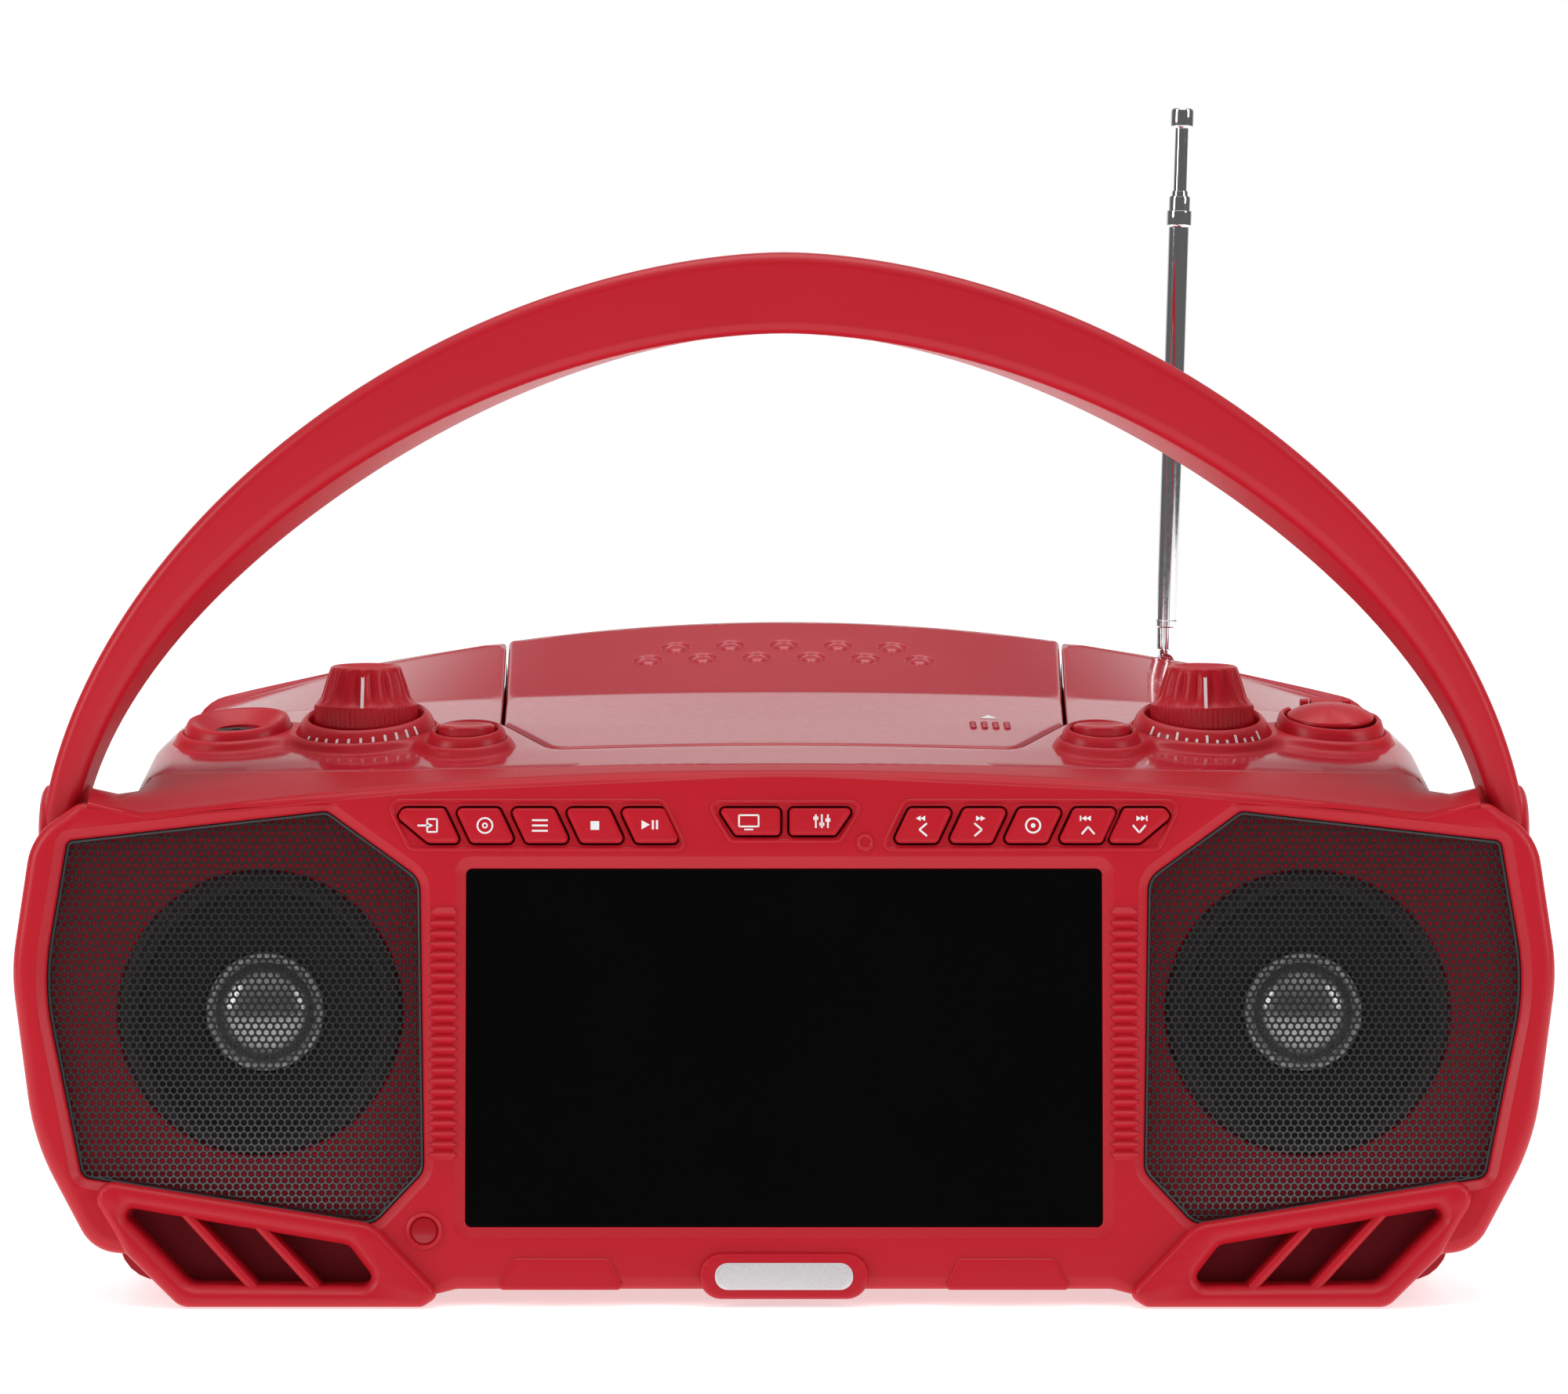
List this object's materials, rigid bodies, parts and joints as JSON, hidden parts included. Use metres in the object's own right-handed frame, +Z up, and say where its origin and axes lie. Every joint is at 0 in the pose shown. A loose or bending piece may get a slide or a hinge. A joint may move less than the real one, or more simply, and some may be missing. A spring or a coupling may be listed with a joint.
{
  "type": "portable dvd player",
  "caption": "Free-standing portable disc player and radio with a built-in widescreen, two grilled speakers, a folding carrying handle, a disc lid on top and a telescopic antenna.",
  "frame": {"origin": "centre of the bounding box at the feet", "axes": "+X to the right along the width, +Y to the back, +Z up"},
  "size_m": [0.3776, 0.196, 0.2946],
  "materials": {
    "front_shell": "satin",
    "rear_shell": "fine texture",
    "top_deck": "glossy",
    "lid": "glossy",
    "lid_hinge_pins": "turned steel",
    "disc_clamp": "matte",
    "left_island": "satin",
    "right_island": "satin",
    "headphone_jack": "matte",
    "volume_knob": "satin",
    "tuning_knob": "satin",
    "knob_controls": "turned steel",
    "bass_button": "satin",
    "band_button": "satin",
    "socket_cap": "satin",
    "dc_socket": "matte",
    "front_button_1": "satin",
    "front_button_2": "satin",
    "front_button_3": "satin",
    "front_button_4": "satin",
    "front_button_5": "satin",
    "front_button_6": "satin",
    "front_button_7": "satin",
    "front_button_8": "satin",
    "front_button_9": "satin",
    "front_button_10": "satin",
    "front_button_11": "satin",
    "front_button_12": "satin",
    "button_board": "solder mask",
    "grille_left": "semi gloss black paint",
    "grille_right": "semi gloss black paint",
    "speaker_left": "stamped steel",
    "speaker_right": "stamped steel",
    "cone_left": "pressed paper",
    "cone_right": "pressed paper",
    "screen_window": "polished",
    "lcd_panel": "matte",
    "receiver_lens": "polished",
    "badge_plate": "silvered",
    "vent_foot_left": "satin",
    "vent_foot_right": "satin",
    "rubber_feet": "matte",
    "main_board": "solder mask",
    "disc_well": "matte",
    "spindle": "turned steel",
    "spindle_motor": "turned steel",
    "laser_sled": "matte",
    "sled_rails": "turned steel",
    "lead_screw": "turned steel",
    "handle": "satin",
    "handle_pivots": "turned steel",
    "antenna_base": "polished",
    "antenna_knuckle": "polished",
    "antenna_tube": "polished",
    "antenna_middle": "polished",
    "antenna_rod": "polished",
    "battery_pack": "wrapped",
    "battery_door": "fine texture",
    "case_screws": "turned steel"
  },
  "bodies": {
    "case": {"front_shell": "front_shell", "rear_shell": "rear_shell", "top_deck": "top_deck", "lid_hinge_pins": "lid_hinge_pins", "left_island": "left_island", "right_island": "right_island", "headphone_jack": "headphone_jack", "knob_controls": "knob_controls", "dc_socket": "dc_socket", "button_board": "button_board", "grille_left": "grille_left", "grille_right": "grille_right", "speaker_left": "speaker_left", "speaker_right": "speaker_right", "cone_left": "cone_left", "cone_right": "cone_right", "screen_window": "screen_window", "lcd_panel": "lcd_panel", "receiver_lens": "receiver_lens", "badge_plate": "badge_plate", "vent_foot_left": "vent_foot_left", "vent_foot_right": "vent_foot_right", "rubber_feet": "rubber_feet", "main_board": "main_board", "disc_well": "disc_well", "spindle_motor": "spindle_motor", "sled_rails": "sled_rails", "handle_pivots": "handle_pivots", "antenna_base": "antenna_base", "battery_pack": "battery_pack", "case_screws": "case_screws"},
    "lid": {"lid": "lid"},
    "clamp": {"disc_clamp": "disc_clamp"},
    "volume": {"volume_knob": "volume_knob"},
    "tuning": {"tuning_knob": "tuning_knob"},
    "bass": {"bass_button": "bass_button"},
    "band": {"band_button": "band_button"},
    "cap": {"socket_cap": "socket_cap"},
    "spindle": {"spindle": "spindle"},
    "sled": {"laser_sled": "laser_sled"},
    "screw": {"lead_screw": "lead_screw"},
    "handle": {"handle": "handle"},
    "antenna_swivel": {"antenna_knuckle": "antenna_knuckle"},
    "antenna_tube": {"antenna_tube": "antenna_tube"},
    "antenna_middle": {"antenna_middle": "antenna_middle"},
    "antenna_rod": {"antenna_rod": "antenna_rod"},
    "battery_door": {"battery_door": "battery_door"},
    "button_1": {"front_button_1": "front_button_1"},
    "button_2": {"front_button_2": "front_button_2"},
    "button_3": {"front_button_3": "front_button_3"},
    "button_4": {"front_button_4": "front_button_4"},
    "button_5": {"front_button_5": "front_button_5"},
    "button_6": {"front_button_6": "front_button_6"},
    "button_7": {"front_button_7": "front_button_7"},
    "button_8": {"front_button_8": "front_button_8"},
    "button_9": {"front_button_9": "front_button_9"},
    "button_10": {"front_button_10": "front_button_10"},
    "button_11": {"front_button_11": "front_button_11"},
    "button_12": {"front_button_12": "front_button_12"}
  },
  "joints": [
    {"name": "handle_fold", "type": "hinge", "parent": "case", "child": "handle", "pos_m": [0, -0.058, 0.112], "axis": [1, 0, 0], "range_deg": [-38, 0]},
    {"name": "lid_open", "type": "hinge", "parent": "case", "child": "lid", "pos_m": [0, 0.078, 0.1475], "axis": [-1, 0, 0], "range_deg": [0, 62]},
    {"name": "clamp_spin", "type": "hinge", "parent": "lid", "child": "clamp", "pos_m": [0, 0.018, 0.124], "axis": [0, 0, 1], "continuous": true},
    {"name": "spindle_spin", "type": "hinge", "parent": "case", "child": "spindle", "pos_m": [0, 0.018, 0.112], "axis": [0, 0, 1], "continuous": true},
    {"name": "sled_travel", "type": "slide", "parent": "case", "child": "sled", "axis": [1, 0, 0], "range_m": [0, 0.028]},
    {"name": "lead_screw_spin", "type": "hinge", "parent": "case", "child": "screw", "pos_m": [0.04, 0.035, 0.106], "axis": [1, 0, 0], "range_deg": [-60, 3600]},
    {"name": "volume_turn", "type": "hinge", "parent": "case", "child": "volume", "pos_m": [-0.1066, -0.023, 0.14], "axis": [0, 0, 1], "range_deg": [-150, 150]},
    {"name": "tuning_turn", "type": "hinge", "parent": "case", "child": "tuning", "pos_m": [0.1066, -0.023, 0.14], "axis": [0, 0, 1], "range_deg": [-165, 165]},
    {"name": "bass_press", "type": "slide", "parent": "case", "child": "bass", "axis": [0, 0, -1], "range_m": [0, 0.001], "stiffness_N_per_m": 900},
    {"name": "band_press", "type": "slide", "parent": "case", "child": "band", "axis": [0, 0, -1], "range_m": [0, 0.001], "stiffness_N_per_m": 900},
    {"name": "cap_flip", "type": "hinge", "parent": "case", "child": "cap", "pos_m": [0.14, -0.0044, 0.1389], "axis": [-1, 0, 0], "range_deg": [0, 95]},
    {"name": "antenna_turn", "type": "hinge", "parent": "case", "child": "antenna_swivel", "pos_m": [0.1055, 0.088, 0.137], "axis": [0, 0, 1], "range_deg": [-180, 180]},
    {"name": "antenna_tilt", "type": "hinge", "parent": "antenna_swivel", "child": "antenna_tube", "pos_m": [0.1055, 0.088, 0.1425], "axis": [0, -1, 0], "range_deg": [-1.4, 88]},
    {"name": "antenna_draw_middle", "type": "slide", "parent": "antenna_tube", "child": "antenna_middle", "axis": [0.0244, 0, 0.9997], "range_m": [0, 0.095]},
    {"name": "antenna_draw_rod", "type": "slide", "parent": "antenna_middle", "child": "antenna_rod", "axis": [0.0244, 0, 0.9997], "range_m": [-0.017, 0.095]},
    {"name": "battery_door_open", "type": "hinge", "parent": "case", "child": "battery_door", "pos_m": [0, 0.0963, 0.0242], "axis": [-1, 0, 0], "range_deg": [0, 100]},
    {"name": "button_1_press", "type": "slide", "parent": "case", "child": "button_1", "axis": [0, 0.9903, -0.1392], "range_m": [0, 0.0008], "stiffness_N_per_m": 900},
    {"name": "button_2_press", "type": "slide", "parent": "case", "child": "button_2", "axis": [0, 0.9903, -0.1392], "range_m": [0, 0.0008], "stiffness_N_per_m": 900},
    {"name": "button_3_press", "type": "slide", "parent": "case", "child": "button_3", "axis": [0, 0.9903, -0.1392], "range_m": [0, 0.0008], "stiffness_N_per_m": 900},
    {"name": "button_4_press", "type": "slide", "parent": "case", "child": "button_4", "axis": [0, 0.9903, -0.1392], "range_m": [0, 0.0008], "stiffness_N_per_m": 900},
    {"name": "button_5_press", "type": "slide", "parent": "case", "child": "button_5", "axis": [0, 0.9903, -0.1392], "range_m": [0, 0.0008], "stiffness_N_per_m": 900},
    {"name": "button_6_press", "type": "slide", "parent": "case", "child": "button_6", "axis": [0, 0.9903, -0.1392], "range_m": [0, 0.0008], "stiffness_N_per_m": 900},
    {"name": "button_7_press", "type": "slide", "parent": "case", "child": "button_7", "axis": [0, 0.9903, -0.1392], "range_m": [0, 0.0008], "stiffness_N_per_m": 900},
    {"name": "button_8_press", "type": "slide", "parent": "case", "child": "button_8", "axis": [0, 0.9903, -0.1392], "range_m": [0, 0.0008], "stiffness_N_per_m": 900},
    {"name": "button_9_press", "type": "slide", "parent": "case", "child": "button_9", "axis": [0, 0.9903, -0.1392], "range_m": [0, 0.0008], "stiffness_N_per_m": 900},
    {"name": "button_10_press", "type": "slide", "parent": "case", "child": "button_10", "axis": [0, 0.9903, -0.1392], "range_m": [0, 0.0008], "stiffness_N_per_m": 900},
    {"name": "button_11_press", "type": "slide", "parent": "case", "child": "button_11", "axis": [0, 0.9903, -0.1392], "range_m": [0, 0.0008], "stiffness_N_per_m": 900},
    {"name": "button_12_press", "type": "slide", "parent": "case", "child": "button_12", "axis": [0, 0.9903, -0.1392], "range_m": [0, 0.0008], "stiffness_N_per_m": 900}
  ],
  "couplings": [
    {"joint": "clamp_spin", "follows": "spindle_spin", "ratio": 1},
    {"joint": "lead_screw_spin", "follows": "sled_travel", "rad_per_m": 2094.4}
  ]
}
